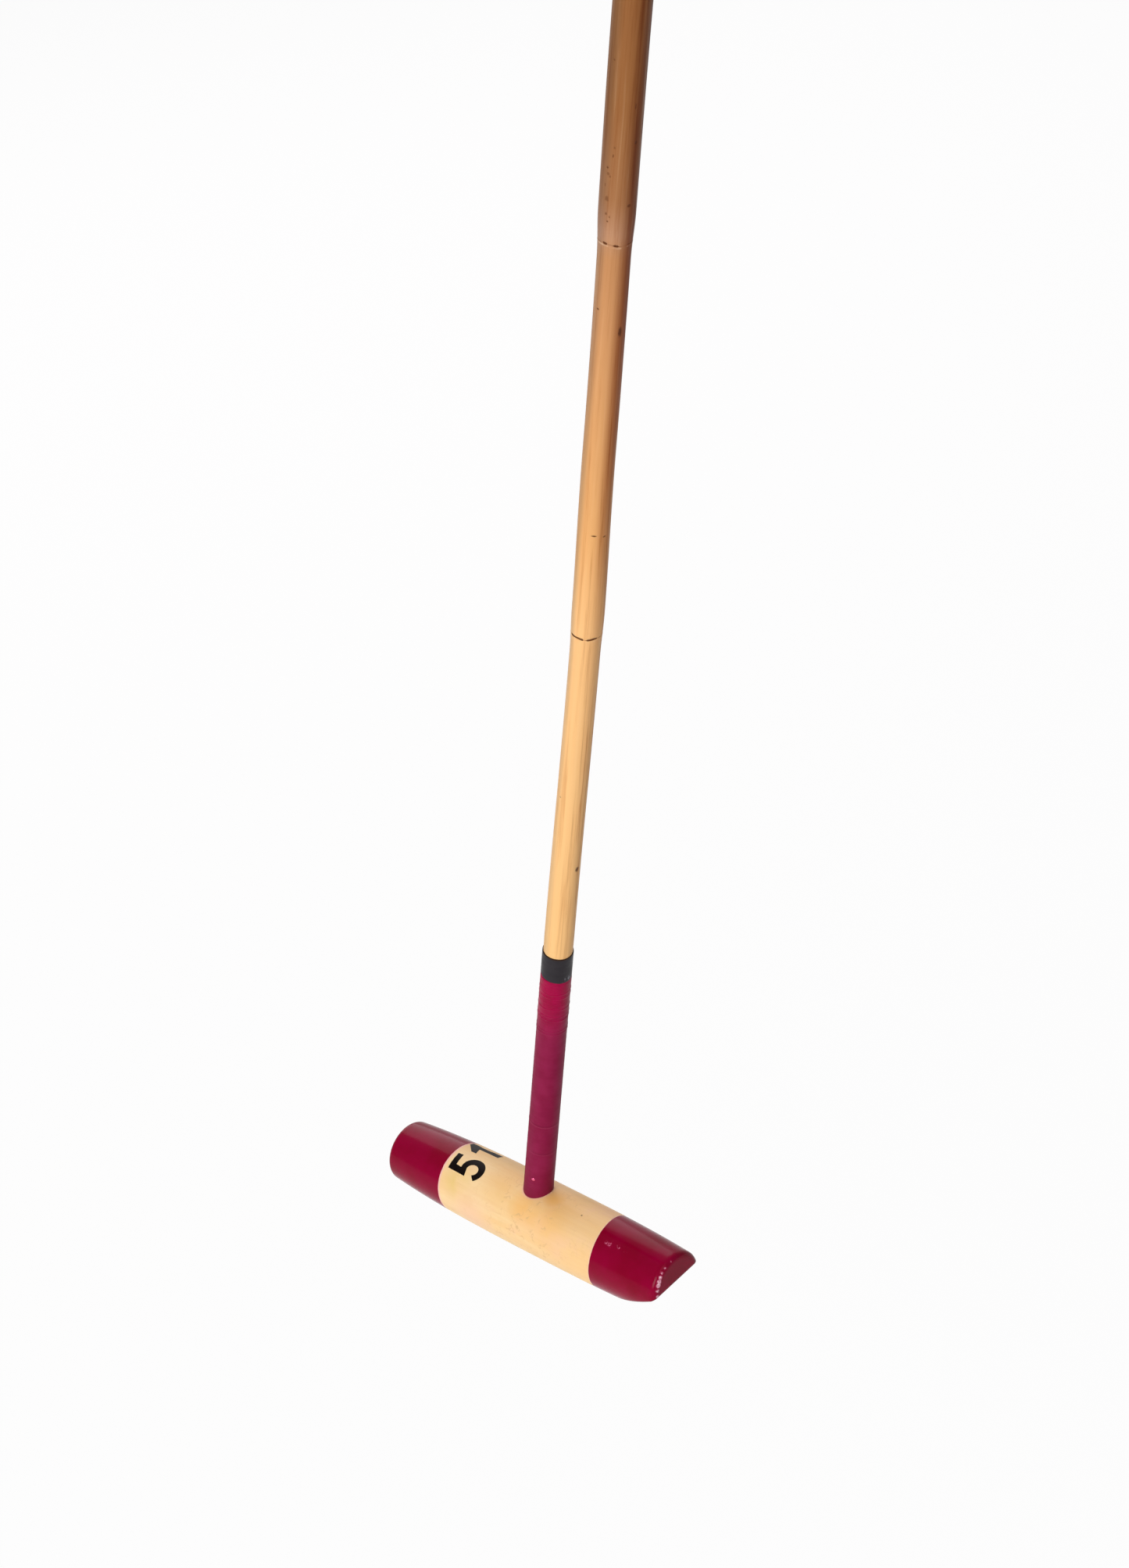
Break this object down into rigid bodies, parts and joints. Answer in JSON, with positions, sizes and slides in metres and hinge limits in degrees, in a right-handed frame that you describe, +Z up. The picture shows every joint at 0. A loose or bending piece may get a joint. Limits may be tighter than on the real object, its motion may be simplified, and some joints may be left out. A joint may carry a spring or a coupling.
{
  "type": "polo mallet",
  "caption": "Long-handled polo mallet: bevelled wooden cigar head on a leaning cane shaft with a bound neck, built-up grip and webbing hand sling.",
  "frame": {"origin": "middle of the grip on the shaft's axis, where a hand holds the mallet", "axes": "+Z up with the head level, +X along the head towards its bevelled heel, +Y square to the plane that the shaft leans in; the shaft leans 12.5 degrees towards +X"},
  "size_m": [0.4251, 0.0476, 1.2687],
  "materials": {
    "painted_head": "gloss maroon lacquer at both ends, clear varnish over pale wood in the middle",
    "cane": "varnished natural cane, darker towards the grip",
    "hardwood": "plain sanded hardwood",
    "maroon_binding": "close maroon binding, satin",
    "copper_tack": "small coppery tack head",
    "black_tape": "smooth black tape, satin",
    "black_leather": "thin black leather",
    "grip_webbing": "flat woven cotton tape",
    "sling_webbing": "woven cotton webbing",
    "brass_tack": "domed brass tack head"
  },
  "bodies": {
    "mallet": {"mallet_head": "painted_head", "cane_shaft": "cane", "foot_wedge": "hardwood", "neck_binding": "maroon_binding", "binding_tack": "copper_tack", "collar_tape": "black_tape", "grip_scale_left": "hardwood", "grip_scale_right": "hardwood", "grip_foot_band": "black_leather", "grip_winding": "grip_webbing", "sling_band": "black_leather", "sling_anchor": "sling_webbing", "sling_tack_lower": "brass_tack", "sling_tack_upper": "brass_tack", "butt_cap": "black_leather", "butt_tack": "brass_tack"},
    "sling": {"sling_loop": "sling_webbing"}
  },
  "joints": [
    {"name": "sling_swing", "type": "hinge", "parent": "mallet", "child": "sling", "pos_m": [0.04956, 0, 0.115], "axis": [0, -1, 0], "range_deg": [-7, 135]}
  ]
}
